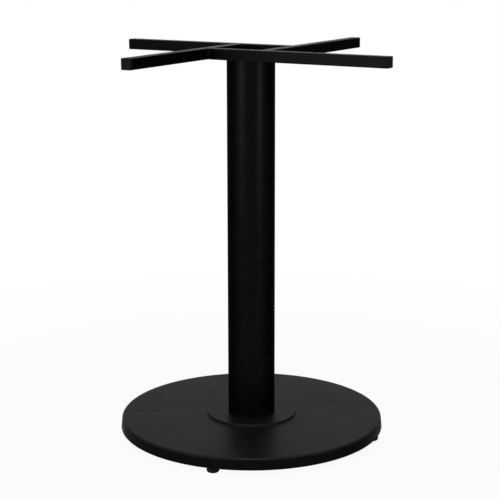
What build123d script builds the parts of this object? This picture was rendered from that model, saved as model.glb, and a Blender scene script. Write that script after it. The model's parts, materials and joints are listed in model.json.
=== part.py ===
from build123d import *
import os
from math import cos, radians, sin, tan

# Pedestal table base: a round cast foot, a steel column and a pinwheel spider of square tube,
# clamped together by one tie rod. Millimetres, +Z up, origin on the floor under the column.

os.makedirs("parts", exist_ok=True)

# Overall sizes
total_height = 730.0
disc_diameter = 500.0
spider_reach = 307.5

# Base casting, top side
disc_height = 21.5
disc_draft = 5.5
disc_edge_radius = 5.0
skirt_edge_chamfer = 1.0
boss_margin = 40.5
boss_height = 4.0
boss_edge_radius = 2.5
boss_foot_radius = 1.2
spigot_height = 8.0
spigot_wall = 7.0
spigot_chamfer = 1.5

# Base casting, hollow underside
disc_skin = 6.0
rim_wall = 8.0
pocket_draft = 3.0
pocket_corner_radius = 6.0
pocket_root_radius = 3.0
hub_ring_wall = 16.0
hub_pocket_margin = 11.0
rib_thickness = 8.0
rib_recess = 2.0
cross_rib_thickness = 5.0
cross_rib_height = 5.0

# Column tube and what centres it
column_diameter = 88.9
column_wall = 2.0
locating_clearance = 0.25
locator_thickness = 5.0
locator_chamfer = 1.0

# Spider of square tube
bar_section = 20.0
bar_wall = 1.5
bar_corner_radius = 2.0
column_to_bar_gap = 4.3
plate_thickness = 5.0
plate_corner = 3.0
screw_hole_diameter = 6.0
tip_to_screw_hole = 25.0
screw_hole_spacing = 120.0

# Plastic end caps of the arms
cap_head = 5.0
cap_edge_radius = 1.5
cap_seam_chamfer = 0.5
cap_insert_depth = 14.0
cap_insert_wall = 1.5
cap_fin_count = 3
cap_fin_height = 1.0
cap_fin_thickness = 1.2
cap_fin_pitch = 4.0
cap_fin_corner = 0.5
cap_clearance = 0.1

# Tie rod with its nuts and washers
rod_diameter = 12.0
rod_hole_clearance = 0.5
rod_end_projection = 1.0
rod_to_skirt_gap = 0.5
rod_to_table_gap = 5.0
rod_end_chamfer = 1.0
nut_across_flats = 19.0
nut_height = 6.0
nut_chamfer_angle = 30.0
washer_diameter = 40.0
washer_thickness = 3.0
thread_clearance = 0.05

# Levelling feet
foot_count = 4
feet_turn = 14.0
foot_height = 10.0
foot_edge_distance = 13.0
foot_boss_wall = 9.0
pad_diameter = 23.0
pad_floor_chamfer = 2.2
pad_top_chamfer = 0.4
pad_pocket_clearance = 0.1
stud_diameter = 8.0
stud_cover = 4.0
stud_end_chamfer = 1.0
stud_end_room = 1.5
stud_hole_chamfer = 0.8
stud_head_across_flats = 13.0
stud_head_height = 5.3

# Half width of the band in which an edge counts as lying at a level
level_margin = 0.01

# Levels above the floor
skirt_z = foot_height
disc_top_z = skirt_z + disc_height
pocket_ceiling_z = disc_top_z - disc_skin
seat_z = disc_top_z + boss_height
rod_foot_z = skirt_z + rod_to_skirt_gap
base_nut_z = rod_foot_z + rod_end_projection
base_washer_z = base_nut_z + nut_height
hub_underside_z = base_washer_z + washer_thickness
rib_foot_z = skirt_z + rib_recess
arm_middle_z = total_height - bar_section / 2
rod_top_z = total_height - rod_to_table_gap
top_nut_z = rod_top_z - rod_end_projection - nut_height
plate_top_z = top_nut_z - washer_thickness
plate_foot_z = plate_top_z - plate_thickness

# Radii about the column's axis
disc_radius = disc_diameter / 2
disc_top_radius = disc_radius - disc_height * tan(radians(disc_draft))
column_radius = column_diameter / 2
column_bore_radius = column_radius - column_wall
boss_radius = column_radius + boss_margin
spigot_radius = column_bore_radius - locating_clearance
rod_hole_radius = rod_diameter / 2 + rod_hole_clearance
hub_pocket_radius = washer_diameter / 2 + hub_pocket_margin
hub_ring_radius = hub_pocket_radius + hub_ring_wall
pocket_radius = disc_radius - rim_wall
foot_circle_radius = disc_radius - foot_edge_distance
thread_radius = stud_diameter / 2 + thread_clearance
foot_boss_radius = thread_radius + foot_boss_wall
stud_length = disc_height - stud_cover - stud_end_room

# Places of the spider's bars: each one butts on the side of the next
half_opening = column_radius + column_to_bar_gap
bar_offset = half_opening + bar_section / 2
bar_bore = bar_section - 2 * bar_wall
bar_end_x = spider_reach - cap_head
tip_hole_x = spider_reach - tip_to_screw_hole
inner_hole_x = tip_hole_x - screw_hole_spacing

# The four sides, as turns about the column's axis
arm_turns = {"right": 0, "back": 90, "left": 180, "front": 270}
foot_turns = {side: turn + feet_turn for side, turn in arm_turns.items()}


def corner(section, across, up):
    """The corner of a profile that lies nearest to a point."""
    return section.vertices().sort_by_distance((across, up, 0))[0]


def edges_at(builder, level):
    """The edges of a part that lie flat at one level."""
    return builder.edges().filter_by_position(Axis.Z, level - level_margin, level + level_margin)


# Base casting: a drafted disc with a raised boss and a spigot that centres the column
with BuildPart() as base_casting:
    with BuildSketch(Plane.XZ) as section:
        with BuildLine():
            Polyline(
                (0, skirt_z),
                (disc_radius, skirt_z),
                (disc_top_radius, disc_top_z),
                (boss_radius, disc_top_z),
                (boss_radius, seat_z),
                (spigot_radius, seat_z),
                (spigot_radius, seat_z + spigot_height),
                (spigot_radius - spigot_wall, seat_z + spigot_height),
                (spigot_radius - spigot_wall, seat_z),
                (0, seat_z),
                close=True,
            )
        make_face()
        chamfer(corner(section, disc_radius, skirt_z), skirt_edge_chamfer)
        fillet(corner(section, disc_top_radius, disc_top_z), disc_edge_radius)
        fillet(corner(section, boss_radius, seat_z), boss_edge_radius)
        fillet(corner(section, boss_radius, disc_top_z), boss_foot_radius)
        chamfer(corner(section, spigot_radius, seat_z + spigot_height), spigot_chamfer)
    revolve(axis=Axis.Z)

    # Shallow recess inside the rim, so that the disc stands on its skirt and foot bosses
    with BuildSketch(Plane.XY.offset(skirt_z)) as recess:
        Circle(pocket_radius)
        with PolarLocations(foot_circle_radius, foot_count, start_angle=feet_turn):
            Circle(foot_boss_radius, mode=Mode.SUBTRACT)
        fillet(recess.vertices(), pocket_corner_radius)
    extrude(amount=rib_recess, mode=Mode.SUBTRACT)

    # Cast pockets between the hub ring, the ribs to the feet and the rim
    with BuildSketch(Plane.XY.offset(rib_foot_z)) as pockets:
        Circle(pocket_radius)
        Circle(hub_ring_radius, mode=Mode.SUBTRACT)
        with PolarLocations(disc_radius / 2, foot_count, start_angle=feet_turn):
            Rectangle(disc_radius, rib_thickness, mode=Mode.SUBTRACT)
        with PolarLocations(foot_circle_radius, foot_count, start_angle=feet_turn):
            Circle(foot_boss_radius, mode=Mode.SUBTRACT)
        fillet(pockets.vertices(), pocket_corner_radius)
    extrude(amount=pocket_ceiling_z - rib_foot_z, taper=pocket_draft, mode=Mode.SUBTRACT)
    fillet(edges_at(base_casting, pocket_ceiling_z), pocket_root_radius)

    # Shallow stiffening ribs across the middle of each pocket
    with BuildSketch(Plane.XY.offset(pocket_ceiling_z)):
        with PolarLocations(
            (hub_ring_radius + pocket_radius) / 2, foot_count, start_angle=feet_turn + 180 / foot_count
        ):
            Rectangle(pocket_radius - hub_ring_radius, cross_rib_thickness)
    extrude(amount=-cross_rib_height, taper=pocket_draft)

    # Round pocket that takes the lower nut and washer, and the hole for the tie rod
    with BuildSketch(Plane.XY.offset(rib_foot_z)):
        Circle(hub_pocket_radius)
    extrude(amount=hub_underside_z - rib_foot_z, taper=pocket_draft, mode=Mode.SUBTRACT)
    with BuildSketch(Plane.XY.offset(hub_underside_z)):
        Circle(rod_hole_radius)
    extrude(amount=seat_z - hub_underside_z, mode=Mode.SUBTRACT)

    # Blind tapped holes for the levelling feet
    with BuildSketch(Plane.XY.offset(skirt_z)):
        with PolarLocations(foot_circle_radius, foot_count, start_angle=feet_turn):
            Circle(thread_radius)
    extrude(amount=disc_height - stud_cover, mode=Mode.SUBTRACT)
    skirt_circles = edges_at(base_casting, skirt_z).filter_by(GeomType.CIRCLE)
    chamfer(skirt_circles.filter_by(lambda edge: abs(edge.radius - thread_radius) < level_margin), stud_hole_chamfer)
base_casting.part.label = "base_casting"
export_step(base_casting.part, "parts/base_casting.step")

# Column: a plain round tube from the casting's seat to the spider's plate
with BuildPart() as column_tube:
    with BuildSketch(Plane.XY.offset(seat_z)):
        Circle(column_radius)
        Circle(column_bore_radius, mode=Mode.SUBTRACT)
    extrude(amount=plate_foot_z - seat_z)
column_tube.part.label = "column_tube"
export_step(column_tube.part, "parts/column_tube.step")

# Square plate that fills the opening between the four bars and takes the pull of the tie rod
with BuildPart() as spider_plate:
    with BuildSketch(Plane.XY.offset(plate_foot_z)) as plate_outline:
        Rectangle(2 * half_opening, 2 * half_opening)
        chamfer(plate_outline.vertices(), plate_corner)
        Circle(rod_hole_radius, mode=Mode.SUBTRACT)
    extrude(amount=plate_thickness)
spider_plate.part.label = "spider_plate"
export_step(spider_plate.part, "parts/spider_plate.step")

# Disc under the plate that centres the column's upper end
with BuildPart() as column_locator:
    with BuildSketch(Plane.XY.offset(plate_foot_z - locator_thickness)):
        Circle(spigot_radius)
        Circle(rod_hole_radius, mode=Mode.SUBTRACT)
    extrude(amount=locator_thickness)
    rim = column_locator.edges().filter_by(GeomType.CIRCLE).group_by(Axis.Z)[0].sort_by(SortBy.RADIUS)[-1]
    chamfer(rim, locator_chamfer)
column_locator.part.label = "column_locator"
export_step(column_locator.part, "parts/column_locator.step")

# Spider arms: square tubes laid as a pinwheel, with upright holes for the table top's screws
with BuildPart() as arm:
    arm_start = Plane(origin=(-half_opening, -bar_offset, arm_middle_z), x_dir=(0, 1, 0), z_dir=(1, 0, 0))
    with BuildSketch(arm_start):
        RectangleRounded(bar_section, bar_section, bar_corner_radius)
        RectangleRounded(bar_bore, bar_bore, bar_corner_radius - bar_wall, mode=Mode.SUBTRACT)
    extrude(amount=half_opening + bar_end_x)
    with Locations((tip_hole_x, -bar_offset, total_height), (inner_hole_x, -bar_offset, total_height)):
        Hole(screw_hole_diameter / 2, depth=bar_section)

# End caps: a rounded head and a hollow insert whose fins grip the tube
with BuildPart() as cap:
    cap_face = Plane(origin=(bar_end_x, -bar_offset, arm_middle_z), x_dir=(0, 1, 0), z_dir=(1, 0, 0))
    fin_width = bar_bore - 2 * cap_clearance
    insert_width = fin_width - 2 * cap_fin_height
    with BuildSketch(cap_face):
        RectangleRounded(bar_section, bar_section, bar_corner_radius)
    extrude(amount=cap_head)
    fillet(cap.edges().group_by(Axis.X)[-1], cap_edge_radius)
    chamfer(cap.edges().group_by(Axis.X)[0], cap_seam_chamfer)
    with BuildSketch(cap_face):
        Rectangle(insert_width, insert_width)
        Rectangle(insert_width - 2 * cap_insert_wall, insert_width - 2 * cap_insert_wall, mode=Mode.SUBTRACT)
    extrude(amount=-cap_insert_depth)
    for fin in range(1, cap_fin_count + 1):
        with BuildSketch(cap_face.offset(-fin * cap_fin_pitch)) as fin_outline:
            Rectangle(fin_width, fin_width)
            chamfer(fin_outline.vertices(), cap_fin_corner)
            Rectangle(insert_width - cap_insert_wall, insert_width - cap_insert_wall, mode=Mode.SUBTRACT)
        extrude(amount=cap_fin_thickness)

for side, turn in arm_turns.items():
    with BuildPart() as spider_arm:
        add(arm.part, rotation=(0, 0, turn))
    spider_arm.part.label = f"spider_arm_{side}"
    export_step(spider_arm.part, f"parts/spider_arm_{side}.step")
    with BuildPart() as end_cap:
        add(cap.part, rotation=(0, 0, turn))
    end_cap.part.label = f"end_cap_{side}"
    export_step(end_cap.part, f"parts/end_cap_{side}.step")

# Tie rod through the column, with a washer and a nut at each end
with BuildPart() as tie_rod:
    with BuildSketch(Plane.XY.offset(rod_foot_z)):
        Circle(rod_diameter / 2)
    extrude(amount=rod_top_z - rod_foot_z)
    chamfer(tie_rod.edges().filter_by(GeomType.CIRCLE), rod_end_chamfer)
tie_rod.part.label = "tie_rod"
export_step(tie_rod.part, "parts/tie_rod.step")

for name, washer_z in {"base_washer": base_washer_z, "top_washer": plate_top_z}.items():
    with BuildPart() as washer:
        with BuildSketch(Plane.XY.offset(washer_z)):
            Circle(washer_diameter / 2)
            Circle(rod_hole_radius, mode=Mode.SUBTRACT)
        extrude(amount=washer_thickness)
    washer.part.label = name
    export_step(washer.part, f"parts/{name}.step")

nut_corner_radius = nut_across_flats / 2 / cos(radians(30))
nut_face_radius = nut_across_flats / 2
nut_corner_drop = (nut_corner_radius - nut_face_radius) * tan(radians(nut_chamfer_angle))
for name, nut_z in {"base_nut": base_nut_z, "top_nut": top_nut_z}.items():
    with BuildPart() as nut:
        with BuildSketch(Plane.XY.offset(nut_z)):
            RegularPolygon(nut_face_radius, 6, major_radius=False)
            Circle(rod_diameter / 2 + thread_clearance, mode=Mode.SUBTRACT)
        extrude(amount=nut_height)
        with BuildSketch(Plane.XZ):
            with BuildLine():
                Polyline(
                    (0, nut_z),
                    (nut_face_radius, nut_z),
                    (nut_corner_radius, nut_z + nut_corner_drop),
                    (nut_corner_radius, nut_z + nut_height - nut_corner_drop),
                    (nut_face_radius, nut_z + nut_height),
                    (0, nut_z + nut_height),
                    close=True,
                )
            make_face()
        revolve(axis=Axis.Z, mode=Mode.INTERSECT)
    nut.part.label = name
    export_step(nut.part, f"parts/{name}.step")

# Levelling feet: a plastic pad pressed over the hexagon head of a screw
for side, turn in foot_turns.items():
    foot_x = foot_circle_radius * cos(radians(turn))
    foot_y = foot_circle_radius * sin(radians(turn))
    foot_floor = Plane(origin=(foot_x, foot_y, 0))
    head_plane = foot_floor.offset(foot_height - stud_head_height)
    with BuildPart() as foot_pad:
        with BuildSketch(foot_floor):
            Circle(pad_diameter / 2)
        extrude(amount=foot_height)
        chamfer(foot_pad.edges().group_by(Axis.Z)[0], pad_floor_chamfer)
        chamfer(foot_pad.edges().group_by(Axis.Z)[-1], pad_top_chamfer)
        with BuildSketch(head_plane):
            RegularPolygon(stud_head_across_flats / 2 + pad_pocket_clearance, 6, major_radius=False)
        extrude(amount=stud_head_height, mode=Mode.SUBTRACT)
    foot_pad.part.label = f"foot_pad_{side}"
    export_step(foot_pad.part, f"parts/foot_pad_{side}.step")

    with BuildPart() as foot_stud:
        with BuildSketch(head_plane):
            RegularPolygon(stud_head_across_flats / 2, 6, major_radius=False)
        extrude(amount=stud_head_height)
        with BuildSketch(foot_floor.offset(foot_height)):
            Circle(stud_diameter / 2)
        extrude(amount=stud_length)
        chamfer(foot_stud.edges().group_by(Axis.Z)[-1], stud_end_chamfer)
    foot_stud.part.label = f"foot_stud_{side}"
    export_step(foot_stud.part, f"parts/foot_stud_{side}.step")
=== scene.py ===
import json
from math import ceil, cos, exp, floor, hypot, pi, radians, sin, sqrt

import bmesh
import bpy
from mathutils import Matrix, Vector, noise


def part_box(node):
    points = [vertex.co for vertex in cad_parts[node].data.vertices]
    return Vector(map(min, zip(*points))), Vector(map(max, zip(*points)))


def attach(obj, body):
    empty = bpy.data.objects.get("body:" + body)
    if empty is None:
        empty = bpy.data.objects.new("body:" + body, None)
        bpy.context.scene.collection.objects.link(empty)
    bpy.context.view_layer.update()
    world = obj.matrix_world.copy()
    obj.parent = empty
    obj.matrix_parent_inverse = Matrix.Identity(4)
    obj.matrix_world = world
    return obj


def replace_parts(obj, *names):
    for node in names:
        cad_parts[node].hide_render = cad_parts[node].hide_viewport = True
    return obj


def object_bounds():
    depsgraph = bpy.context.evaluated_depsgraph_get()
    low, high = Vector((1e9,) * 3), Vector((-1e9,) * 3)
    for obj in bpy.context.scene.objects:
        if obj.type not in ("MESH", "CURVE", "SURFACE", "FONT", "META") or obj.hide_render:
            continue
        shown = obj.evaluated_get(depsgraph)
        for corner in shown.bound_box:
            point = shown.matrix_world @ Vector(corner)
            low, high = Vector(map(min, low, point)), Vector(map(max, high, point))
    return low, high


# Looks of a pedestal table base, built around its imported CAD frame. Metres, +Z up.

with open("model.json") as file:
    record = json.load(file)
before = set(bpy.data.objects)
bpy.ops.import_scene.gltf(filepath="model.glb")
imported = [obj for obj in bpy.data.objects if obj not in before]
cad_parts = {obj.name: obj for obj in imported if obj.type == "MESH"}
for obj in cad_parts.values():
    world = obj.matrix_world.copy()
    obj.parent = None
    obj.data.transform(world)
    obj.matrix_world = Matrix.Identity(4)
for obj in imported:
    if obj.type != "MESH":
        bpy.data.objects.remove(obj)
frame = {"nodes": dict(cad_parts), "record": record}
cad_low, cad_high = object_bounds()

SIDES = ("right", "back", "left", "front")
MM = 0.001
EAST, NORTH, UP = Vector((1, 0, 0)), Vector((0, 1, 0)), Vector((0, 0, 1))
WHITE = (1.0, 1.0, 1.0, 1.0)


# Shader helpers

BLOTCH_RANGE = (0.35, 0.65)
BLOTCH_DETAIL = 4.0
BUMP_DETAIL = 2.0


def add_node(tree, kind, inputs=None, **settings):
    """A shader node with its settings and its inputs, which are values or other nodes' outputs."""
    made = tree.nodes.new(kind)
    for name, value in settings.items():
        setattr(made, name, value)
    for name, value in (inputs or {}).items():
        if isinstance(value, bpy.types.NodeSocket):
            tree.links.new(value, made.inputs[name])
        else:
            made.inputs[name].default_value = value
    return made


def empty_material(name):
    """A new material with an empty node tree and its output node."""
    material = bpy.data.materials.new(name)
    material.use_nodes = True
    material.node_tree.nodes.clear()
    return material, material.node_tree, add_node(material.node_tree, "ShaderNodeOutputMaterial")


def noise_at(tree, place, size, detail):
    """Noise whose features are about one size across, in metres."""
    inputs = {"Vector": place, "Scale": 1 / size, "Detail": detail}
    return add_node(tree, "ShaderNodeTexNoise", inputs).outputs["Fac"]


def ranged(tree, value, start, stop, low, high):
    """A value that runs from start to stop, spread over the range from low to high."""
    inputs = {"Value": value, "From Min": start, "From Max": stop, "To Min": low, "To Max": high}
    return add_node(tree, "ShaderNodeMapRange", inputs).outputs["Result"]


def calculated(tree, operation, first, second):
    """The result of a math operation on two values or outputs."""
    return add_node(tree, "ShaderNodeMath", {0: first, 1: second}, operation=operation).outputs["Value"]


def mixed(tree, share, first, second):
    """A mix of two shaders."""
    return add_node(tree, "ShaderNodeMixShader", {"Fac": share, 1: first, 2: second}).outputs["Shader"]


# Coats: the fades run over the facing value, 0 face on and 1 edge on, and the range over the normal's Z

UPRIGHT_FADE = (0.06, 0.38)
LEVEL_FADE = (0.35, 0.62)
LEVEL_RANGE = (0.25, 0.9)
FACING_BLEND = 0.5


def coat_weight(tree, normal, surface_normal, upright, level, aslant):
    """The weight of a thin coat, which depends on how a face lies and how it is seen.

    Upright faces have the upright weight face on, and it fades as they turn away. On level faces the
    weight runs from level, seen face on, to aslant."""
    layer = add_node(tree, "ShaderNodeLayerWeight", {"Blend": FACING_BLEND, "Normal": normal})
    facing = layer.outputs["Facing"]
    slope = add_node(tree, "ShaderNodeSeparateXYZ", {"Vector": surface_normal}).outputs["Z"]
    level_share = ranged(tree, calculated(tree, "ABSOLUTE", slope, 0.0), *LEVEL_RANGE, 0.0, 1.0)
    on_upright = ranged(tree, facing, *UPRIGHT_FADE, upright, 0.0)
    on_level = calculated(tree, "MULTIPLY", level_share, ranged(tree, facing, *LEVEL_FADE, level, aslant))
    return calculated(tree, "MAXIMUM", on_upright, on_level)


def textured(name, tones, tone_size, roughness, bumps, coat=None, sockets=None):
    """A surface with two tones in blotches, uneven roughness and layers of bump.

    Tones are linear colours. A bump layer is its size across and its height, the coarsest one first.
    A coat names its weights, and sockets are the shader's plain values."""
    material, tree, output = empty_material(name)
    place = add_node(tree, "ShaderNodeTexCoord").outputs["Object"]
    blotches = noise_at(tree, place, tone_size, BLOTCH_DETAIL)
    ramp = add_node(tree, "ShaderNodeValToRGB", {"Fac": blotches})
    for stop, position, tone in zip(ramp.color_ramp.elements, BLOTCH_RANGE, tones):
        stop.position = position
        stop.color = (*tone, 1.0)
    surface_normal = add_node(tree, "ShaderNodeNewGeometry").outputs["Normal"]
    normal = surface_normal
    for size, height in bumps:
        relief = noise_at(tree, place, size, BUMP_DETAIL)
        inputs = {"Height": relief, "Strength": 1.0, "Distance": height, "Normal": normal}
        normal = add_node(tree, "ShaderNodeBump", inputs).outputs["Normal"]
    inputs = {
        "Base Color": ramp.outputs["Color"],
        "Roughness": ranged(tree, blotches, *BLOTCH_RANGE, *roughness),
        "Normal": normal,
        "Coat Normal": normal,
        **(sockets or {}),
    }
    if coat:
        inputs["Coat Weight"] = coat_weight(tree, normal, surface_normal, **coat)
    shader = add_node(tree, "ShaderNodeBsdfPrincipled", inputs)
    tree.links.new(shader.outputs["BSDF"], output.inputs["Surface"])
    return material


def grey(level, tint=(1.0, 1.0, 1.0)):
    """A linear grey, slightly tinted."""
    return tuple(level * share for share in tint)


# Finishes: black powder coat on the iron and the steel, black plastic, and bright zinc

OLIVE, WARM, COOL = (1.0, 1.0, 0.82), (1.0, 1.0, 0.96), (0.97, 1.0, 1.0)
LEVEL_COAT = 0.25
MOULDED_GRAIN = ((3 * MM, 0.03 * MM), (0.4 * MM, 0.012 * MM))

materials = {
    "casting": textured(
        "cast_powder_coat",
        tones=(grey(0.002), grey(0.004)),
        tone_size=40 * MM,
        roughness=(0.38, 0.48),
        bumps=((55 * MM, 0.8 * MM), (12 * MM, 0.16 * MM), (1.2 * MM, 0.04 * MM)),
        coat={"upright": 0.014, "level": LEVEL_COAT, "aslant": 0.145},
        sockets={"IOR": 1.05, "Coat Roughness": 0.42},
    ),
    "column": textured(
        "tube_powder_coat",
        tones=(grey(0.001), grey(0.002)),
        tone_size=22 * MM,
        roughness=(0.36, 0.46),
        bumps=((6 * MM, 0.03 * MM), (0.8 * MM, 0.02 * MM)),
        coat={"upright": 0.068, "level": LEVEL_COAT, "aslant": 0.0},
        sockets={"IOR": 1.015, "Coat Roughness": 0.33},
    ),
    "spider": textured(
        "bar_powder_coat",
        tones=(grey(0.0007), grey(0.0014)),
        tone_size=18 * MM,
        roughness=(0.24, 0.34),
        bumps=((6 * MM, 0.02 * MM), (0.8 * MM, 0.01 * MM)),
        coat={"upright": 0.078, "level": LEVEL_COAT, "aslant": 0.23},
        sockets={"IOR": 1.02, "Coat Roughness": 0.42},
    ),
    "cap": textured(
        "moulded_cap",
        tones=(grey(0.003, OLIVE), grey(0.006, OLIVE)),
        tone_size=7 * MM,
        roughness=(0.4, 0.55),
        bumps=MOULDED_GRAIN,
        coat={"upright": 0.06, "level": LEVEL_COAT, "aslant": 0.15},
        sockets={"IOR": 1.05, "Coat Roughness": 0.45},
    ),
    "foot": textured(
        "moulded_foot",
        tones=(grey(0.005, OLIVE), grey(0.009, OLIVE)),
        tone_size=5 * MM,
        roughness=(0.45, 0.6),
        bumps=MOULDED_GRAIN,
        sockets={"IOR": 1.07},
    ),
    "zinc": textured(
        "zinc_plate",
        tones=(grey(0.3, WARM), grey(0.45, COOL)),
        tone_size=4 * MM,
        roughness=(0.22, 0.4),
        bumps=((2.5 * MM, 0.008 * MM), (0.3 * MM, 0.006 * MM)),
        sockets={"Metallic": 1.0},
    ),
}


def paint(piece, slot):
    """Give a piece the finish of one of the record's material slots."""
    piece.data.materials.clear()
    piece.data.materials.append(materials[slot])


for subpart in frame["record"]["subparts"]:
    paint(frame["nodes"][subpart["node"]], subpart["material_slot"])


# Mesh helpers

SHARP_ANGLE = radians(50)


def piece_from(name, mesh_data, body, slot):
    """An object from a finished bmesh, riding on a body, smooth between its sharp edges."""
    bmesh.ops.recalc_face_normals(mesh_data, faces=mesh_data.faces)
    mesh = bpy.data.meshes.new(name)
    mesh_data.to_mesh(mesh)
    mesh_data.free()
    mesh.shade_smooth()
    mesh.set_sharp_from_angle(angle=SHARP_ANGLE)
    piece = bpy.data.objects.new(name, mesh)
    bpy.context.scene.collection.objects.link(piece)
    paint(piece, slot)
    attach(piece, body)
    return piece


def skin_rings(mesh_data, rings):
    """Faces between closed rings of points, with both ends closed."""
    verts = [[mesh_data.verts.new(point) for point in ring] for ring in rings]
    count = len(verts[0])
    for lower, upper in zip(verts, verts[1:]):
        for here in range(count):
            there = (here + 1) % count
            mesh_data.faces.new((lower[here], lower[there], upper[there], upper[here]))
    mesh_data.faces.new(verts[0])
    mesh_data.faces.new(verts[-1])


def stepped(start, stop, step):
    """Evenly spaced values from start to stop, about one step apart."""
    count = ceil((stop - start) / step)
    return [start + (stop - start) * number / count for number in range(count + 1)]


# Welds of the spider: rippled beads where the bars butt on each other and where they hold the plate

BEAD_SINK = 0.5 * MM
BEAD_STEP = 0.25 * MM
BEAD_POINTS = 10
BEAD_ROUNDNESS = 1.5
BEAD_END = 0.02
BEAD_WANDER = 0.12
WANDER_SIZE = 3.3 * MM
RIPPLE_PITCH = 1.9 * MM
RIPPLE_DEPTH = 0.3 * MM
RIPPLE_BOW = 0.9


def weld_bead(mesh_data, start, end, along_a, along_b, leg, swell=0.0):
    """A rippled bead in the corner between two walls, from start to end.

    The legs lie along_a and along_b. The bead swells by a share of its leg where it was stopped."""
    length = (end - start).length
    axis = (end - start) / length
    rings = []
    for run in stepped(0.0, length, BEAD_STEP):
        to_end = min(run, length - run)
        taper = sqrt(max(BEAD_END, 1 - (1 - min(1.0, to_end / leg)) ** 2))
        lump = 1 + swell * exp(-(((length - run - leg) / leg) ** 2))
        wander = BEAD_WANDER * noise.noise((start + axis * run) / WANDER_SIZE)
        ring = [along_a * leg * taper - along_b * BEAD_SINK]
        for number in range(BEAD_POINTS + 1):
            turn = pi / 2 * number / BEAD_POINTS
            reach = (cos(turn) ** BEAD_ROUNDNESS + sin(turn) ** BEAD_ROUNDNESS) ** (-1 / BEAD_ROUNDNESS)
            phase = (run + RIPPLE_BOW * leg * (turn - pi / 4) ** 2) / RIPPLE_PITCH
            ripple = RIPPLE_DEPTH * (phase - floor(phase)) * sin(2 * turn)
            size = leg * reach * taper * (lump + wander * sin(2 * turn)) - ripple
            ring.append(along_a * size * cos(turn) + along_b * size * sin(turn))
        ring.append(along_b * leg * taper - along_a * BEAD_SINK)
        ring.append(-(along_a + along_b) * BEAD_SINK)
        rings.append([start + axis * run + point for point in ring])
    skin_rings(mesh_data, rings)


CORNER_LEG = 2.6 * MM
CORNER_BEAD_FOOT = 1.5 * MM
CORNER_BEAD_TOP = 2.0 * MM
STITCH_LEG = 3.0 * MM
STITCH_LENGTH = 26 * MM
STOP_SWELL = 0.5

arm_low, arm_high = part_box("spider_arm_right")
plate_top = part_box("spider_plate")[1].z
joint_x, outer_y, inner_y = arm_low.x, arm_low.y, arm_high.y
corners = ((outer_y, -NORTH, arm_low.z + CORNER_BEAD_FOOT), (inner_y, NORTH, plate_top))
stitch_start = Vector((-STITCH_LENGTH / 2, inner_y, plate_top))
stitch_end = Vector((STITCH_LENGTH / 2, inner_y, plate_top))

for quarter, side in enumerate(SIDES):
    beads = bmesh.new()
    # Upright beads in the two corners where the bar butts on its neighbour
    for y, outwards, foot in corners:
        bead_foot = Vector((joint_x, y, foot))
        bead_top = Vector((joint_x, y, arm_high.z - CORNER_BEAD_TOP))
        weld_bead(beads, bead_foot, bead_top, EAST, outwards, CORNER_LEG, STOP_SWELL)
    # A stitch between the bar and the plate
    weld_bead(beads, stitch_start, stitch_end, NORTH, UP, STITCH_LEG)
    bmesh.ops.rotate(beads, verts=beads.verts, matrix=Matrix.Rotation(quarter * pi / 2, 3, "Z"))
    piece_from(f"weld_{side}", beads, "stand", "spider")


# Screw threads of the tie rod and of the levelling feet: their depth and flats are shares of the pitch

THREAD_POINTS = 36
THREAD_STEPS = 10
THREAD_DEPTH = 0.6134
ROOT_FLAT, CREST_FLAT = 0.25, 0.125
ROD_PITCH = 1.75 * MM
ROD_THREAD = 40 * MM
STUD_PITCH = 1.25 * MM
HEAD_CORNERS = 6
HEAD_MARGIN = 1 * MM


def ring_about(centre, z, radii):
    """A level ring of points about an upright axis, evenly turned and each at its own radius."""
    ring = []
    for number, radius in enumerate(radii):
        turn = 2 * pi * number / len(radii)
        ring.append(Vector((centre.x + radius * cos(turn), centre.y + radius * sin(turn), z)))
    return ring


def add_prism(mesh_data, centre, low, high, count, radius):
    """An upright prism, or a cylinder with many sides."""
    skin_rings(mesh_data, [ring_about(centre, z, [radius] * count) for z in (low, high)])


def thread_height(z, turn, pitch):
    """The height of a screw thread at a place, from 0 at its root to 1 at its crest."""
    phase = z / pitch - turn / (2 * pi)
    ridge = abs(2 * (phase - floor(phase)) - 1)
    return min(1.0, max(0.0, (ridge - ROOT_FLAT) / (1 - ROOT_FLAT - CREST_FLAT)))


def add_thread(mesh_data, centre, low, high, radius, pitch):
    """An upright screw thread with coned ends, of the standard sixty-degree form."""
    depth = THREAD_DEPTH * pitch
    turns = [2 * pi * number / THREAD_POINTS for number in range(THREAD_POINTS)]
    rings = []
    for z in stepped(low, high, pitch / THREAD_STEPS):
        cone = radius - depth + min(z - low, high - z)
        radii = [min(cone, radius - depth * (1 - thread_height(z, turn, pitch))) for turn in turns]
        rings.append(ring_about(centre, z, radii))
    skin_rings(mesh_data, rings)


rod_low, rod_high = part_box("tie_rod")
rod_centre = (rod_low + rod_high) / 2
rod_radius = (rod_high.x - rod_low.x) / 2
shank_low, shank_high = rod_low.z + ROD_THREAD, rod_high.z - ROD_THREAD
rod = bmesh.new()
add_thread(rod, rod_centre, rod_low.z, shank_low + ROD_PITCH, rod_radius, ROD_PITCH)
add_prism(rod, rod_centre, shank_low, shank_high, THREAD_POINTS, rod_radius)
add_thread(rod, rod_centre, shank_high - ROD_PITCH, rod_high.z, rod_radius, ROD_PITCH)
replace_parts(piece_from("threaded_rod", rod, "stand", "zinc"), "tie_rod")

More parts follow.
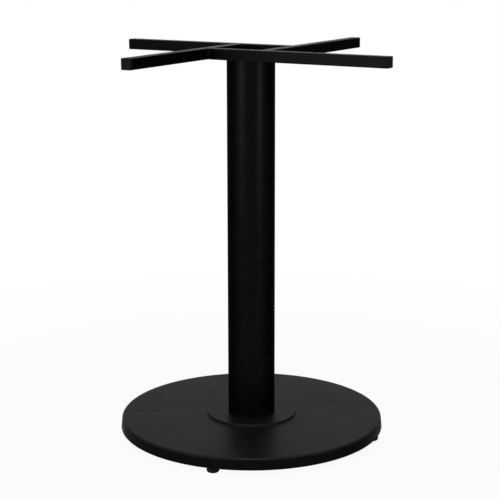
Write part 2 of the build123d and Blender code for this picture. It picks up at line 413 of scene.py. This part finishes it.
for side in SIDES:
    node = frame["nodes"][f"foot_stud_{side}"]
    stud_low, stud_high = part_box(node.name)
    head_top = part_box(f"foot_pad_{side}")[1].z
    centre = (stud_low + stud_high) / 2
    above_head = [v.co - centre for v in node.data.vertices if v.co.z > head_top + HEAD_MARGIN]
    stud_radius = max(hypot(point.x, point.y) for point in above_head)
    stud = bmesh.new()
    add_prism(stud, centre, stud_low.z, head_top, HEAD_CORNERS, stud_high.x - centre.x)
    add_thread(stud, centre, head_top - STUD_PITCH, stud_high.z, stud_radius, STUD_PITCH)
    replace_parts(piece_from(f"threaded_stud_{side}", stud, f"foot_{side}", "zinc"), node.name)


# Camera at the photograph's viewing angle

CAMERA_DISTANCE = 2.569
CAMERA_HEIGHT = 0.9334
CAMERA_BEARING = radians(30.789)
CAMERA_TURN = radians(30.841)
CAMERA_TILT = radians(77.233)
CAMERA_ROLL = radians(-0.109)
CAMERA_LENS = 101.04
CAMERA_SENSOR = 36.0


def around(bearing, distance, height):
    """A point round the column, its bearing counted from the camera's towards the right."""
    turn = CAMERA_BEARING + bearing
    return Vector((distance * sin(turn), -distance * cos(turn), height))


camera_data = bpy.data.cameras.new("camera")
camera_data.lens = CAMERA_LENS
camera_data.sensor_width = CAMERA_SENSOR
camera = bpy.data.objects.new("camera", camera_data)
camera.location = around(0.0, CAMERA_DISTANCE, CAMERA_HEIGHT)
turned = Matrix.Rotation(CAMERA_TURN, 3, "Z")
tilted = Matrix.Rotation(CAMERA_TILT, 3, "X")
rolled = Matrix.Rotation(CAMERA_ROLL, 3, "Z")
camera.rotation_euler = (turned @ tilted @ rolled).to_euler()
bpy.context.scene.collection.objects.link(camera)
bpy.context.scene.camera = camera


# Pale floor and white studio

FLOOR_RADIUS = 3.2
FLOOR_SEGMENTS = 96
FLOOR_DROP = 0.1 * MM
FLOOR_TONE = (0.75, 0.75, 0.75, 1.0)
GLOW_NEAR, GLOW_FAR = 0.93, 1.0
GLOW_NEAR_RADIUS, GLOW_FAR_RADIUS = 0.35, 1.4
AMBIENT = 0.35
SEEN_STRENGTH = 1.0


def seen_share(tree):
    """1 for the rays of the camera, of gloss and of glass, which see white, and 0 for the rest."""
    rays = add_node(tree, "ShaderNodeLightPath").outputs
    share = calculated(tree, "MAXIMUM", rays["Is Camera Ray"], rays["Is Glossy Ray"])
    return calculated(tree, "MAXIMUM", share, rays["Is Transmission Ray"])


def sky(tree, strength):
    """A white world of one strength."""
    inputs = {"Color": WHITE, "Strength": strength}
    return add_node(tree, "ShaderNodeBackground", inputs).outputs["Background"]


floor_data = bmesh.new()
bmesh.ops.create_circle(floor_data, cap_ends=True, segments=FLOOR_SEGMENTS, radius=FLOOR_RADIUS)
floor_mesh = bpy.data.meshes.new("floor")
floor_data.to_mesh(floor_mesh)
floor_data.free()
floor_piece = bpy.data.objects.new("floor", floor_mesh)
floor_piece.location.z = cad_low.z - FLOOR_DROP
bpy.context.scene.collection.objects.link(floor_piece)

floor_material, tree, output = empty_material("floor")
place = add_node(tree, "ShaderNodeTexCoord").outputs["Object"]
reach = add_node(tree, "ShaderNodeVectorMath", {0: place}, operation="LENGTH").outputs["Value"]
glow = ranged(tree, reach, GLOW_NEAR_RADIUS, GLOW_FAR_RADIUS, GLOW_NEAR, GLOW_FAR)
shadowed = add_node(tree, "ShaderNodeBsdfDiffuse", {"Color": FLOOR_TONE}).outputs["BSDF"]
emission = add_node(tree, "ShaderNodeEmission", {"Color": WHITE, "Strength": SEEN_STRENGTH})
glowing = emission.outputs["Emission"]
surface = mixed(tree, calculated(tree, "MULTIPLY", seen_share(tree), glow), shadowed, glowing)
below = add_node(tree, "ShaderNodeNewGeometry").outputs["Backfacing"]
clear = add_node(tree, "ShaderNodeBsdfTransparent").outputs["BSDF"]
tree.links.new(mixed(tree, below, surface, clear), output.inputs["Surface"])
floor_mesh.materials.append(floor_material)

world = bpy.data.worlds.new("studio")
world.use_nodes = True
tree = world.node_tree
tree.nodes.clear()
output = add_node(tree, "ShaderNodeOutputWorld")
studio = mixed(tree, seen_share(tree), sky(tree, AMBIENT), sky(tree, SEEN_STRENGTH))
tree.links.new(studio, output.inputs["Surface"])
bpy.context.scene.world = world


# Soft studio lamps: a broad one on the left, a small one on the right and one high on the camera's side


def softbox(name, bearing, distance, height, width, tall, radiance):
    """A soft lamp aimed at the middle of the column. Its bearing is in degrees from the camera's."""
    data = bpy.data.lights.new(name, "AREA")
    data.shape = "RECTANGLE"
    data.size = width
    data.size_y = tall
    data.energy = radiance * pi * width * tall
    lamp = bpy.data.objects.new(name, data)
    lamp.location = around(radians(bearing), distance, height)
    aim = (cad_low + cad_high) / 2 - lamp.location
    lamp.rotation_euler = aim.to_track_quat("-Z", "Y").to_euler()
    lamp.visible_camera = False
    bpy.context.scene.collection.objects.link(lamp)


softbox("softbox_left", bearing=-48, distance=2.4, height=0.75, width=1.25, tall=0.8, radiance=8.6)
softbox("softbox_right", bearing=42, distance=2.4, height=0.42, width=0.8, tall=0.25, radiance=18.0)
softbox("softbox_top", bearing=0, distance=0.9, height=2.4, width=0.5, tall=0.8, radiance=13.0)

bpy.context.scene.view_settings.view_transform = "Standard"
